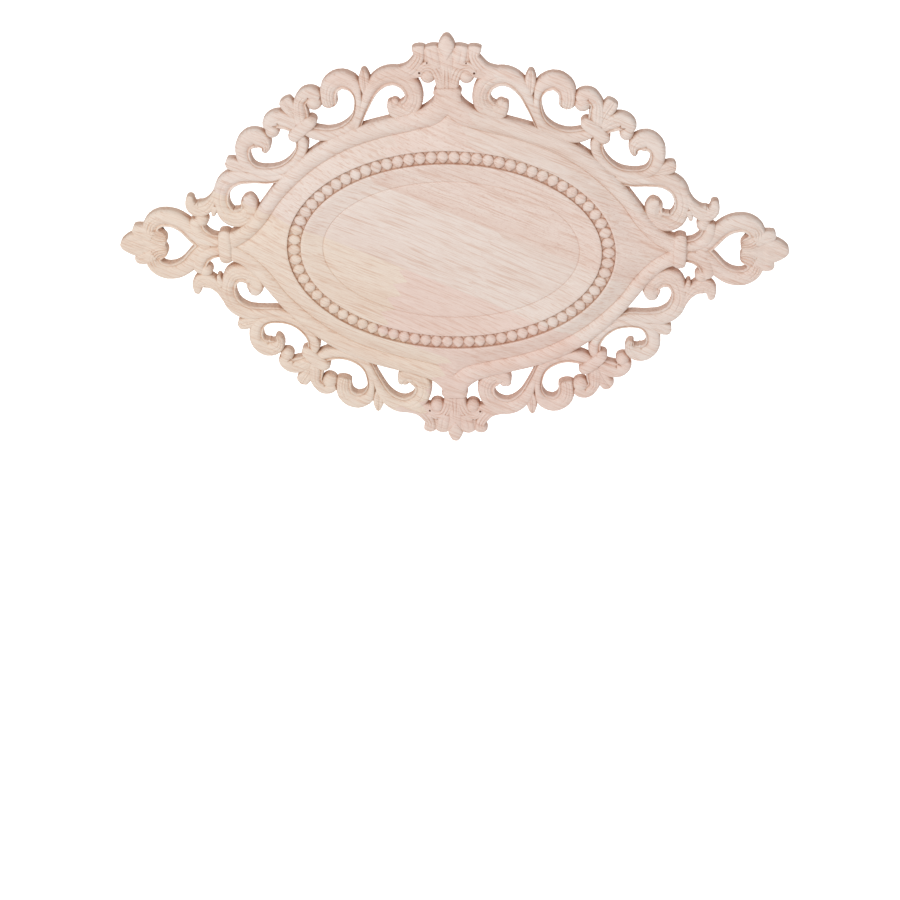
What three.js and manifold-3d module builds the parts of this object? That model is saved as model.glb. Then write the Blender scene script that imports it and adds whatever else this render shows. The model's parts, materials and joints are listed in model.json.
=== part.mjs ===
// A pierced wooden applique: an oval cartouche panel with a beaded ring, framed by carved scrollwork.
// It is drawn flat, front up, as one quarter that is mirrored twice, and then stood up against a wall.
import * as THREE from "three";
import { mergeVertices } from "three/addons/utils/BufferGeometryUtils.js";
import Module from "manifold-3d";

const wasm = await Module();
wasm.setup();

// Driving sizes in millimetres.
const length = 480;
const scrollCrest = 9.4;
const scrollInnerWall = 7.6;
const scrollOuterWall = 4.6;
const leafRidge = 9.0;
const leafEdge = 5.2;
const ballCrown = 10.4;
const ballShoulder = 9;
const ballWall = 5.2;
const tieCrown = 11.2;
const tieWall = 8.1;
const rimWall = 9.0;
const rimCrest = 12.0;
const rimGroove = 8.4;
const ringFillet = 14.2;
const beadBed = 11.2;
const beadCrown = 13.8;
const creaseFloor = 11.4;
const dishFloor = 10.6;
const sawAllowance = 2;
const beadCount = 74;
const beadGap = 0.3;
const weldDistance = 1e-4;

// Places and half widths in the plan are shares of half the length, measured from the middle.
const unit = length / 2;

// Cross-sections: [place from the inner edge (-1) to the outer edge (1), height]. They start below the
// back plane, where the whole piece is sawn flat.
const scrollSection = [
  [-1, -sawAllowance],
  [-1, scrollInnerWall],
  [0, scrollCrest],
  [1, scrollOuterWall],
  [1, -sawAllowance],
];
const leafSection = [
  [-1, -sawAllowance],
  [-1, leafEdge],
  [0, leafRidge],
  [1, leafEdge],
  [1, -sawAllowance],
];
const tieSection = [
  [-1, -sawAllowance],
  [-1, tieWall],
  [-0.45, tieCrown],
  [0.45, tieCrown],
  [1, tieWall],
  [1, -sawAllowance],
];

// Strokes of the quarter: each point is [x, y, half width], from one end of the stroke to the other.
// The opening that a scroll curls around lies on its left (1) or on its right (-1).
const scrolls = [
  {
    name: "volute beside the fleuron",
    opening: 1,
    steps: 14,
    path: [
      [0.276, 0.35, 0.01],
      [0.258, 0.41, 0.013],
      [0.24, 0.455, 0.0155],
      [0.217, 0.506, 0.0225],
      [0.184, 0.536, 0.0265],
      [0.148, 0.5415, 0.0275],
      [0.113, 0.522, 0.027],
      [0.097, 0.485, 0.0265],
      [0.105, 0.449, 0.03],
      [0.13, 0.433, 0.039],
      [0.155, 0.438, 0.022],
      [0.164, 0.462, 0.011],
      [0.161, 0.478, 0.004],
    ],
  },
  {
    name: "upper C-scroll",
    opening: 1,
    steps: 13,
    path: [
      [0.341, 0.447, 0.0225],
      [0.345, 0.478, 0.025],
      [0.338, 0.509, 0.0275],
      [0.308, 0.529, 0.027],
      [0.275, 0.517, 0.0235],
      [0.26, 0.485, 0.0135],
      [0.259, 0.445, 0.0135],
      [0.27, 0.406, 0.0165],
      [0.299, 0.376, 0.02],
      [0.34, 0.362, 0.02],
      [0.38, 0.363, 0.0215],
      [0.42, 0.378, 0.018],
    ],
  },
  {
    name: "lower C-scroll",
    opening: -1,
    steps: 14,
    path: [
      [0.543, 0.302, 0.004],
      [0.536, 0.327, 0.02],
      [0.551, 0.342, 0.029],
      [0.577, 0.346, 0.0295],
      [0.6, 0.329, 0.0255],
      [0.607, 0.3, 0.0225],
      [0.598, 0.268, 0.0205],
      [0.576, 0.249, 0.0165],
      [0.54, 0.242, 0.0165],
      [0.493, 0.25, 0.0165],
      [0.456, 0.275, 0.0175],
      [0.433, 0.31, 0.0185],
      [0.43, 0.34, 0.019],
      [0.44, 0.362, 0.014],
    ],
  },
  {
    name: "volute beside the panel's end",
    opening: -1,
    steps: 13,
    path: [
      [0.48, 0.232, 0.012],
      [0.53, 0.221, 0.0155],
      [0.585, 0.2245, 0.0195],
      [0.632, 0.223, 0.025],
      [0.667, 0.2, 0.026],
      [0.682, 0.16, 0.0245],
      [0.678, 0.125, 0.0245],
      [0.66, 0.098, 0.031],
      [0.628, 0.092, 0.034],
      [0.602, 0.108, 0.028],
      [0.591, 0.134, 0.026],
      [0.6, 0.152, 0.019],
      [0.612, 0.156, 0.012],
    ],
  },
  {
    name: "small curl behind the end tie",
    opening: 1,
    steps: 4,
    path: [
      [0.69, 0.016, 0.018],
      [0.725, 0.02, 0.021],
      [0.753, 0.04, 0.02],
      [0.763, 0.066, 0.02],
      [0.757, 0.087, 0.019],
    ],
  },
  {
    name: "half of the end heart",
    opening: -1,
    steps: 10,
    path: [
      [0.735, -0.008, 0.02],
      [0.768, 0.03, 0.025],
      [0.8, 0.066, 0.0255],
      [0.835, 0.0855, 0.0265],
      [0.872, 0.086, 0.0265],
      [0.9, 0.061, 0.025],
      [0.898, 0.03, 0.026],
      [0.878, 0.013, 0.022],
    ],
  },
  {
    name: "bunch curl facing the fleuron",
    opening: 1,
    steps: 6,
    path: [
      [0.426, 0.395, 0.024],
      [0.429, 0.43, 0.0235],
      [0.428, 0.462, 0.019],
      [0.407, 0.484, 0.0215],
      [0.387, 0.481, 0.0225],
      [0.374, 0.468, 0.014],
    ],
  },
  {
    name: "bunch curl facing the end",
    opening: -1,
    steps: 6,
    path: [
      [0.448, 0.386, 0.02],
      [0.473, 0.402, 0.0265],
      [0.5, 0.407, 0.0265],
      [0.518, 0.393, 0.0255],
      [0.52, 0.371, 0.022],
    ],
  },
];

const leaves = [
  {
    name: "bud between the volute and the upper C-scroll",
    steps: 4,
    path: [
      [0.236, 0.485, 0.008],
      [0.238, 0.52, 0.017],
      [0.239, 0.543, 0.0125],
      [0.241, 0.561, 0.003],
    ],
  },
  {
    name: "bud between the lower C-scroll and the end volute",
    steps: 3,
    path: [
      [0.59, 0.25, 0.01],
      [0.625, 0.258, 0.019],
      [0.648, 0.262, 0.0185],
      [0.66, 0.264, 0.006],
    ],
  },
  {
    name: "bud of the bunch",
    steps: 3,
    path: [
      [0.438, 0.4, 0.012],
      [0.455, 0.435, 0.018],
      [0.468, 0.45, 0.0185],
      [0.481, 0.465, 0.009],
    ],
  },
  {
    name: "hooked leaf on the end volute",
    steps: 5,
    path: [
      [0.695, 0.182, 0.006],
      [0.707, 0.15, 0.014],
      [0.728, 0.125, 0.021],
      [0.755, 0.116, 0.0255],
      [0.773, 0.13, 0.019],
      [0.777, 0.156, 0.005],
    ],
  },
  {
    name: "spur under the hooked leaf",
    steps: 2,
    path: [
      [0.7, 0.132, 0.014],
      [0.707, 0.111, 0.01],
      [0.709, 0.094, 0.003],
    ],
  },
  {
    name: "corner leaf of the fleuron",
    steps: 4,
    path: [
      [0.125, 0.553, 0.01],
      [0.098, 0.568, 0.014],
      [0.082, 0.592, 0.014],
      [0.081, 0.616, 0.0155],
      [0.091, 0.632, 0.007],
    ],
  },
  {
    name: "side lobe of the fleuron",
    steps: 3,
    path: [
      [0.028, 0.575, 0.02],
      [0.042, 0.61, 0.022],
      [0.048, 0.636, 0.011],
    ],
  },
  {
    name: "curl leaf of the fleuron",
    steps: 4,
    path: [
      [0.018, 0.52, 0.018],
      [0.03, 0.565, 0.024],
      [0.058, 0.588, 0.026],
      [0.088, 0.57, 0.02],
      [0.104, 0.548, 0.012],
    ],
  },
  {
    name: "lobe beside the end finial",
    steps: 3,
    path: [
      [0.9, 0.03, 0.02],
      [0.93, 0.041, 0.019],
      [0.953, 0.045, 0.014],
      [0.965, 0.045, 0.008],
    ],
  },
];

const ties = [
  {
    name: "tie of the bunch",
    steps: 4,
    path: [
      [0.387, 0.409, 0.01],
      [0.402, 0.4, 0.018],
      [0.428, 0.38, 0.02],
      [0.452, 0.356, 0.018],
      [0.464, 0.344, 0.01],
    ],
  },
];

// Round ends of the curls: [x, y, radius].
const balls = [
  [0.388, 0.461, 0.025],
  [0.515, 0.369, 0.021],
  [0.748, 0.081, 0.0215],
  [0.055, 0.541, 0.026],
];

// Strokes that lie across the mirror lines, so they are made whole.
const topLeaf = {
  steps: 8,
  path: [
    [0, 0.47, 0.034],
    [0, 0.53, 0.03],
    [0, 0.6, 0.028],
    [0, 0.635, 0.023],
    [0, 0.656, 0.013],
    [0, 0.666, 0.003],
  ],
};
const topCollar = {
  steps: 4,
  path: [
    [-0.041, 0.495, 0.012],
    [-0.02, 0.495, 0.016],
    [0.02, 0.495, 0.016],
    [0.041, 0.495, 0.012],
  ],
};
const endLeaf = {
  steps: 7,
  path: [
    [0.87, 0, 0.022],
    [0.92, 0, 0.042],
    [0.95, 0, 0.038],
    [0.978, 0, 0.022],
    [0.993, 0, 0.01],
    [1, 0, 0.003],
  ],
};
const endTie = {
  steps: 4,
  path: [
    [0.679, -0.058, 0.013],
    [0.679, -0.03, 0.016],
    [0.679, 0.03, 0.016],
    [0.679, 0.058, 0.013],
  ],
};

// Quarter of the panel's edge and of the groove inside its rim, from the top to the end, as [x, y].
const panelEdge = [
  [0, 0.5],
  [0.032, 0.497],
  [0.039, 0.474],
  [0.052, 0.455],
  [0.084, 0.438],
  [0.17, 0.416],
  [0.25, 0.393],
  [0.33, 0.36],
  [0.414, 0.306],
  [0.47, 0.256],
  [0.518, 0.203],
  [0.566, 0.138],
  [0.605, 0.085],
  [0.645, 0.053],
  [0.69, 0.036],
  [0.705, 0],
];
const panelGroove = [
  [0, 0.428],
  [0.03, 0.402],
  [0.1, 0.38],
  [0.2, 0.355],
  [0.3, 0.317],
  [0.4, 0.255],
  [0.5, 0.157],
  [0.55, 0.084],
  [0.6, 0.03],
  [0.645, 0],
];

// Ovals inside the rim: [half length, half height, height of the surface].
const ovals = [
  [0.49, 0.3265, ringFillet],
  [0.478, 0.3145, ringFillet],
  [0.476, 0.3125, beadBed],
  [0.447, 0.286, beadBed],
  [0.445, 0.284, ringFillet],
  [0.434, 0.273, ringFillet],
  [0.385, 0.223, creaseFloor],
];

// A closed solid from its corners and faces, turned right side out when it comes inside out.
function solidFrom(vertices, faces) {
  const build = (list) =>
    new wasm.Manifold(
      new wasm.Mesh({
        numProp: 3,
        vertProperties: new Float32Array(vertices.flat()),
        triVerts: new Uint32Array(list.flat()),
      }),
    );
  const made = build(faces);
  if (made.volume() > 0) return made;
  return build(faces.map(([a, b, c]) => [a, c, b]));
}

// A three.js geometry as a closed solid.
function solidOfGeometry(geometry) {
  const plain = geometry.clone();
  plain.deleteAttribute("normal");
  plain.deleteAttribute("uv");
  const merged = mergeVertices(plain, weldDistance);
  const places = merged.getAttribute("position");
  const vertices = Array.from({ length: places.count }, (_, i) => [
    places.getX(i),
    places.getY(i),
    places.getZ(i),
  ]);
  const faces = [];
  for (let i = 0; i < merged.index.count; i += 3) {
    const corners = [0, 1, 2].map((k) => merged.index.getX(i + k));
    if (new Set(corners).size === 3) faces.push(corners);
  }
  return solidFrom(vertices, faces);
}

// Two triangles for each side of the ring that starts at `a` and the ring that starts at `b`.
function bridge(faces, a, b, count) {
  for (let k = 0; k < count; k += 1) {
    const next = (k + 1) % count;
    faces.push([a + k, b + k, b + next], [a + k, b + next, a + next]);
  }
}

// Sweeps a cross-section along a stroke whose half width changes on the way.
function carvedStroke({ path, steps, opening = 1 }, section) {
  const curve = new THREE.CatmullRomCurve3(
    path.map(([x, y, halfWidth]) => new THREE.Vector3(x, y, halfWidth)),
  );
  const vertices = [];
  const faces = [];
  for (let i = 0; i <= steps; i += 1) {
    const { x, y, z: halfWidth } = curve.getPointAt(i / steps);
    const heading = curve.getTangentAt(i / steps).setZ(0).normalize();
    for (const [across, height] of section) {
      const offset = -across * opening * halfWidth;
      vertices.push([
        (x - heading.y * offset) * unit,
        (y + heading.x * offset) * unit,
        height,
      ]);
    }
    if (i > 0) bridge(faces, (i - 1) * section.length, i * section.length, section.length);
  }
  const last = steps * section.length;
  for (let k = 1; k < section.length - 1; k += 1) {
    faces.push([0, k, k + 1], [last, last + k + 1, last + k]);
  }
  return solidFrom(vertices, faces);
}

// A round knob with a domed crown.
function domedBall([x, y, radius]) {
  const sides = 6;
  const reach = radius * unit;
  const profile = [
    new THREE.Vector2(0, -sawAllowance),
    new THREE.Vector2(reach, -sawAllowance),
    new THREE.Vector2(reach, ballWall),
    new THREE.Vector2(reach * 0.75, ballShoulder),
    new THREE.Vector2(0, ballCrown),
  ];
  const dome = new THREE.LatheGeometry(profile, sides);
  dome.rotateX(Math.PI / 2).translate(x * unit, y * unit, 0);
  return solidOfGeometry(dome);
}

// Points spread along a quarter curve and carried round the whole panel by mirroring.
function fullRound(quarterPoint, count) {
  const quarter = Array.from({ length: count + 1 }, (_, i) => quarterPoint(i / count));
  const right = [...quarter, ...quarter.slice(0, -1).reverse().map(([x, y]) => [x, -y])];
  return [...right, ...right.slice(1, -1).reverse().map(([x, y]) => [-x, y])];
}

function alongCurve(points) {
  const curve = new THREE.CatmullRomCurve3(points.map(([x, y]) => new THREE.Vector3(x, y, 0)));
  return (share) => {
    const { x, y } = curve.getPointAt(share);
    return [x, y];
  };
}

function alongOval(halfLength, halfHeight) {
  return (share) => {
    const angle = (share * Math.PI) / 2;
    return [halfLength * Math.sin(angle), halfHeight * Math.cos(angle)];
  };
}

// The panel: a walled edge, a rounded rim, a groove, a rising field, the bead bed and a dished middle.
function cartouchePanel() {
  const stations = 16;
  const crestShare = 0.5;
  const edge = alongCurve(panelEdge);
  const groove = alongCurve(panelGroove);
  const between = (mix) => (share) => {
    const [a, b] = [edge(share), groove(share)];
    return [a[0] + (b[0] - a[0]) * mix, a[1] + (b[1] - a[1]) * mix];
  };
  const rings = [
    [edge, -sawAllowance],
    [edge, rimWall],
    [between(crestShare), rimCrest],
    [groove, rimGroove],
    ...ovals.map(([halfLength, halfHeight, height]) => [alongOval(halfLength, halfHeight), height]),
  ];
  const around = 4 * stations;
  const vertices = [];
  const faces = [];
  rings.forEach(([line, height], r) => {
    const outline = fullRound(line, stations);
    vertices.push(...outline.map(([x, y]) => [x * unit, y * unit, height]));
    if (r > 0) bridge(faces, (r - 1) * around, r * around, around);
  });
  const back = vertices.push([0, 0, -sawAllowance]) - 1;
  const middle = vertices.push([0, 0, dishFloor]) - 1;
  const innermost = (rings.length - 1) * around;
  for (let k = 0; k < around; k += 1) {
    const next = (k + 1) % around;
    faces.push([back, k, next], [middle, innermost + next, innermost + k]);
  }
  return solidFrom(vertices, faces);
}

// Beads that stand in the bed, evenly spaced along the oval's length from its end on the long axis.
function beads() {
  const [, , [outerLength, outerHeight], [innerLength, innerHeight]] = ovals;
  const halfLength = (outerLength + innerLength) / 2;
  const halfHeight = (outerHeight + innerHeight) / 2;
  const oval = new THREE.EllipseCurve(0, 0, halfLength * unit, halfHeight * unit);
  const radius = (oval.getLength() / beadCount - beadGap) / 2;
  return Array.from({ length: beadCount }, (_, i) => {
    const { x, y } = oval.getPointAt(i / beadCount);
    const bead = new THREE.SphereGeometry(1, 4, 2);
    bead.rotateX(Math.PI / 2).scale(radius, radius, beadCrown - beadBed);
    bead.translate(x, y, beadBed);
    return solidOfGeometry(bead);
  });
}

function mirrored(solid, scaleX, scaleY) {
  const mesh = solid.getMesh();
  const vertices = [];
  for (let i = 0; i < mesh.numVert; i += 1) {
    const [x, y, z] = mesh.vertProperties.subarray(i * mesh.numProp, i * mesh.numProp + 3);
    vertices.push([x * scaleX, y * scaleY, z]);
  }
  const faces = [];
  for (let i = 0; i < mesh.triVerts.length; i += 3) {
    faces.push([...mesh.triVerts.subarray(i, i + 3)]);
  }
  return solidFrom(vertices, faces);
}

// What is sawn off behind the back plane.
function backWaste() {
  const waste = new THREE.BoxGeometry(length + sawAllowance, length, 2 * sawAllowance);
  waste.translate(0, 0, -sawAllowance);
  return solidOfGeometry(waste);
}

function appliqueSolid() {
  const quarter = wasm.Manifold.union([
    ...scrolls.map((stroke) => carvedStroke(stroke, scrollSection)),
    ...leaves.map((stroke) => carvedStroke(stroke, leafSection)),
    ...ties.map((stroke) => carvedStroke(stroke, tieSection)),
    ...balls.map(domedBall),
  ]);
  const across = [
    carvedStroke(topLeaf, leafSection),
    carvedStroke(topCollar, tieSection),
  ];
  const ends = [carvedStroke(endLeaf, leafSection), carvedStroke(endTie, tieSection)];
  return wasm.Manifold.union([
    cartouchePanel(),
    ...beads(),
    quarter,
    mirrored(quarter, -1, 1),
    mirrored(quarter, 1, -1),
    mirrored(quarter, -1, -1),
    ...across,
    ...across.map((solid) => mirrored(solid, 1, -1)),
    ...ends,
    ...ends.map((solid) => mirrored(solid, -1, 1)),
  ]).subtract(backWaste());
}

function geometryOf(solid) {
  const mesh = solid.getMesh();
  const positions = new Float32Array(mesh.numVert * 3);
  for (let i = 0; i < mesh.numVert; i += 1) {
    positions.set(mesh.vertProperties.subarray(i * mesh.numProp, i * mesh.numProp + 3), i * 3);
  }
  const geometry = new THREE.BufferGeometry();
  geometry.setAttribute("position", new THREE.BufferAttribute(positions, 3));
  geometry.setIndex(new THREE.BufferAttribute(mesh.triVerts, 1));
  geometry.computeVertexNormals();
  return geometry;
}

const paleWood = new THREE.MeshStandardMaterial({ color: 0xe3cdbd, roughness: 0.78, metalness: 0 });

const applique = new THREE.Mesh(geometryOf(appliqueSolid()), paleWood);
applique.name = "carved_applique";
// The plan's height runs up the wall and the carving faces the room, away from the wall.
applique.rotation.x = Math.PI / 2;

const part = new THREE.Group();
part.add(applique);

export default part;
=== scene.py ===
"""Looks of a pierced, carved wood applique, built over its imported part.

The carving is drawn flat, front up, as the strokes of one quarter. The quarter is joined, mirrored twice and
stood up against the surface that it is fixed to. Places in the plan are shares of half the applique's length,
measured from its middle, and heights are millimetres above the flat back.
"""

import json
import logging
import math
from dataclasses import dataclass
from enum import Enum
from typing import Callable, Sequence

import bmesh
import bpy
from mathutils import Matrix, Vector

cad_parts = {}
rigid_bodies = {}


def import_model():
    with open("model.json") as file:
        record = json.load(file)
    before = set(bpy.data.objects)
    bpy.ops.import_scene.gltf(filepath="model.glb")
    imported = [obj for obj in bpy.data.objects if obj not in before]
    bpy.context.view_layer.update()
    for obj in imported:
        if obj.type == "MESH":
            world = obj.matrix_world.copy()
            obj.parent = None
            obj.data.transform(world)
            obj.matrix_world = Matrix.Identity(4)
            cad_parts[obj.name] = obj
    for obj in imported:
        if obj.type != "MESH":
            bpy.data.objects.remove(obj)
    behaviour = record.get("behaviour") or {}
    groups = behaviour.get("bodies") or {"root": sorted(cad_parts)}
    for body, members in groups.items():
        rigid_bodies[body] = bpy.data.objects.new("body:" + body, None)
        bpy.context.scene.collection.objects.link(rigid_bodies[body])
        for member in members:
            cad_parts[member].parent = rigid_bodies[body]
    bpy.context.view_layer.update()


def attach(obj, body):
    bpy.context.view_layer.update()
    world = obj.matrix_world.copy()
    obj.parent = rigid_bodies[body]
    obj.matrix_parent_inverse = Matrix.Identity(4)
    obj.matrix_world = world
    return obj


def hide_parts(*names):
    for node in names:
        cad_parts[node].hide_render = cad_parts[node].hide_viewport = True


LOG = logging.getLogger("applique")

MM = 0.001
HALF_LENGTH = 240 * MM
# Millimetres behind the back's plane where every solid starts, before the whole is sawn flat.
SAW_ALLOWANCE = 2.0
# Metres within which points are joined, within which they are joined at a mirror, and within which they
# lie on it.
WELD = 1e-6
MIRROR_WELD = 2e-6
ON_MIRROR = 1e-7
QUARTER_TURN = 0.5 * math.pi
MIDDLE = (0, 0, 0)
UPWARD = (0, 0, 1)
PIECE_NAME = "carved_wood"

PlanPoint = tuple[float, float]
StrokePoint = tuple[float, float, float]
SectionPoint = tuple[float, float]
Place = tuple[float, float, float]
Colour = tuple[float, float, float, float]


class Opening(Enum):
    """Side of a stroke, seen along it, on which the opening that it curls around lies."""

    LEFT = 1
    RIGHT = -1


class End(Enum):
    """How a stroke ends: under its neighbour, or rounded where it shows."""

    HIDDEN = "hidden"
    ROUND = "round"


@dataclass(frozen=True)
class Flute:
    """A shallow groove that runs along a stroke.

    Args:
        across: place from the inner edge (-1) to the outer edge (1).
        start: share of the stroke's length where the groove starts.
        end: share where it ends.
        depth: depth in millimetres.
        width: half width of the groove as a share of the stroke's half width.
    """

    across: float
    start: float
    end: float
    depth: float = 0.7
    width: float = 0.13

    # Share of the groove's length over which it fades in, and out.
    FADE = 0.3

    def cut(self, across: float, share: float) -> float:
        """Depth of the groove at a place of the stroke.

        Args:
            across: place across the stroke.
            share: place along it.

        Returns:
            The depth in millimetres.
        """
        ramp = self.FADE * (self.end - self.start)
        fade_in = min(max((share - self.start) / ramp, 0.0), 1.0)
        fade_out = min(max((self.end - share) / ramp, 0.0), 1.0)
        reach = (across - self.across) / self.width
        return self.depth * math.exp(-reach * reach) * min(fade_in, fade_out)


@dataclass(frozen=True)
class Section:
    """The top line of a stroke's cross-section, as (place across, height)."""

    line: tuple[SectionPoint, ...]

    # Places of the further points round a flute in its half widths, the digits that they are rounded to,
    # their least distance from the line's own points, and the outermost place that they may have.
    FLUTE_POINTS = (-1.5, 0, 1.5)
    DIGITS = 4
    CLOSEST = 0.05
    OUTERMOST = 0.95

    @classmethod
    def even(cls, *half: SectionPoint) -> "Section":
        """A section whose outer half mirrors its inner half, given from the edge to the middle."""
        return cls((*half, *((-across, rise) for across, rise in reversed(half[:-1]))))

    def scaled(self, share: float) -> "Section":
        """The section with its heights multiplied."""
        return Section(tuple((across, share * rise) for across, rise in self.line))

    def raised(self, lift: float) -> "Section":
        """The section lifted by some millimetres."""
        return Section(tuple((across, rise + lift) for across, rise in self.line))

    def height(self, across: float) -> float:
        """Height of the line at a place across.

        Args:
            across: place from the inner edge (-1) to the outer edge (1).

        Returns:
            The height in millimetres.
        """
        for (a, low), (b, high) in zip(self.line, self.line[1:]):
            if across <= b:
                return low + (high - low) * max(across - a, 0.0) / (b - a)
        return self.line[-1][1]

    def fluted(self, flutes: Sequence[Flute]) -> list[SectionPoint]:
        """The line with further points where flutes are cut.

        Args:
            flutes: the stroke's flutes.

        Returns:
            The points, from the inner to the outer edge.
        """
        steps = [(flute, step) for flute in flutes for step in self.FLUTE_POINTS]
        cuts = {round(flute.across + step * flute.width, self.DIGITS) for flute, step in steps}
        own = [point for point in self.line if all(abs(point[0] - cut) > self.CLOSEST for cut in cuts)]
        return sorted([*own, *((cut, self.height(cut)) for cut in cuts if abs(cut) < self.OUTERMOST)])


SCROLL = Section(
    (
        (-1.0, 6.9), (-0.97, 7.8), (-0.9, 8.25), (-0.8, 8.2), (-0.73, 7.8), (-0.66, 7.35), (-0.58, 7.75),
        (-0.47, 8.5), (-0.3, 9.1), (-0.1, 9.4), (0.1, 9.45), (0.3, 9.4), (0.5, 9.25), (0.68, 8.9),
        (0.81, 8.3),
        (0.9, 7.5), (0.96, 6.4), (1.0, 5.0),
    )
)
CREST = SCROLL.scaled(1.09)
LEAF = Section.even(
    (-1.0, 5.4), (-0.96, 6.7), (-0.88, 7.6), (-0.7, 8.3), (-0.48, 8.6), (-0.3, 8.5), (-0.18, 8.25),
    (-0.06, 8.8), (0.0, 8.95),
)
LOBE = Section.even(
    (-1.0, 5.4), (-0.96, 6.8), (-0.89, 7.8), (-0.77, 8.5), (-0.55, 8.9), (-0.28, 9.05), (0.0, 9.1),
)
FAN = LOBE.scaled(0.93)
TIE = Section.even((-1.0, 8.4), (-0.96, 10.2), (-0.86, 11.4), (-0.7, 12.0), (-0.35, 12.3), (0.0, 12.35))
BAND = TIE.raised(0.95)
KNOT = TIE.raised(-1.3)
PETAL = TIE.raised(-2.4)
COLLAR = TIE.raised(-1.7)


@dataclass(frozen=True)
class Stroke:
    """One carved stroke of the quarter.

    Args:
        name: what a carver would call it.
        path: (x, y, half width) from one end to the other.
        section: its cross-section.
        opening: side of the opening that it curls around.
        start: form of its first end.
        finish: form of its last end.
        start_height: height at the first end as a share of the section's.
        finish_height: height at the last end as a share of the section's.
        flutes: grooves along it.
        steps: stations along it.
        cap: length of a rounded end as a share of the half width there.
    """

    name: str
    path: tuple[StrokePoint, ...]
    section: Section
    opening: Opening = Opening.LEFT
    start: End = End.HIDDEN
    finish: End = End.ROUND
    start_height: float = 1.0
    finish_height: float = 0.75
    flutes: tuple[Flute, ...] = ()
    steps: int = 36
    cap: float = 0.9


class SmoothLine:
    """A centripetal Catmull-Rom line through points of two or three coordinates."""

    # Points walked on each span, half the step for a heading, half the step for a turn, and the share of a
    # turn's radius that a section may fill.
    FINENESS = 24
    HEADING_STEP = 0.004
    TURN_STEP = 0.012
    FULLEST = 0.88

    def __init__(self, points: Sequence[Sequence[float]]) -> None:
        """Walks the line once, so that shares of its length can be looked up.

        Args:
            points: the points that it goes through.
        """
        self.points = [Vector((*point, 0.0)[:3]) for point in points]
        spans = len(self.points) - 1
        self.walk = [self._on_span(i / self.FINENESS) for i in range(spans * self.FINENESS + 1)]
        self.reach = [0.0]
        for before, after in zip(self.walk, self.walk[1:]):
            self.reach.append(self.reach[-1] + (after - before).length)

    def _neighbour(self, index: int) -> Vector:
        """A point of the line, or one carried on past its ends.

        Args:
            index: number of the point, which may be one before the first or one after the last.

        Returns:
            The point.
        """
        if index < 0:
            return 2 * self.points[0] - self.points[1]
        if index >= len(self.points):
            return 2 * self.points[-1] - self.points[-2]
        return self.points[index]

    def _on_span(self, place: float) -> Vector:
        """The point at a place of the line.

        Args:
            place: the place, counted in spans from the start.

        Returns:
            The point.
        """
        span = min(int(place), len(self.points) - 2)
        weight = place - span
        a, b, c, d = (self._neighbour(span + k) for k in (-1, 0, 1, 2))
        ab, bc, cd = (math.sqrt((q - p).length) for p, q in ((a, b), (b, c), (c, d)))
        leave = ((b - a) / ab - (c - a) / (ab + bc) + (c - b) / bc) * bc
        arrive = ((c - b) / bc - (d - b) / (bc + cd) + (d - c) / cd) * bc
        square = -3 * b + 3 * c - 2 * leave - arrive
        cube = 2 * b - 2 * c + leave + arrive
        return b + leave * weight + square * weight**2 + cube * weight**3

    def at(self, share: float) -> Vector:
        """The point at a share of the line's length.

        Args:
            share: the share, kept between 0 and 1.

        Returns:
            The point.
        """
        wanted = min(max(share, 0.0), 1.0) * self.reach[-1]
        low, high = 0, len(self.reach) - 1
        while high - low > 1:
            middle = (low + high) // 2
            low, high = (middle, high) if self.reach[middle] <= wanted else (low, middle)
        step = self.reach[high] - self.reach[low]
        mix = (wanted - self.reach[low]) / step if step else 0.0
        return self.walk[low].lerp(self.walk[high], mix)

    def room(self, share: float) -> tuple[float, float]:
        """Room to the left and to the right before neighbouring sections would cross.

        Args:
            share: place along the line.

        Returns:
            The widest offset to each side.
        """
        before, after = self.heading(share - self.TURN_STEP), self.heading(share + self.TURN_STEP)
        turn = (before.x * after.y - before.y * after.x) / (2 * self.TURN_STEP * self.reach[-1])
        left = self.FULLEST / turn if turn > 0 else math.inf
        right = -self.FULLEST / turn if turn < 0 else math.inf
        return left, right

    def heading(self, share: float) -> Vector:
        """Direction of the line in the plan at a share of its length."""
        ahead = self.at(share + self.HEADING_STEP) - self.at(share - self.HEADING_STEP)
        return Vector((ahead.x, ahead.y, 0.0)).normalized()


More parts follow.
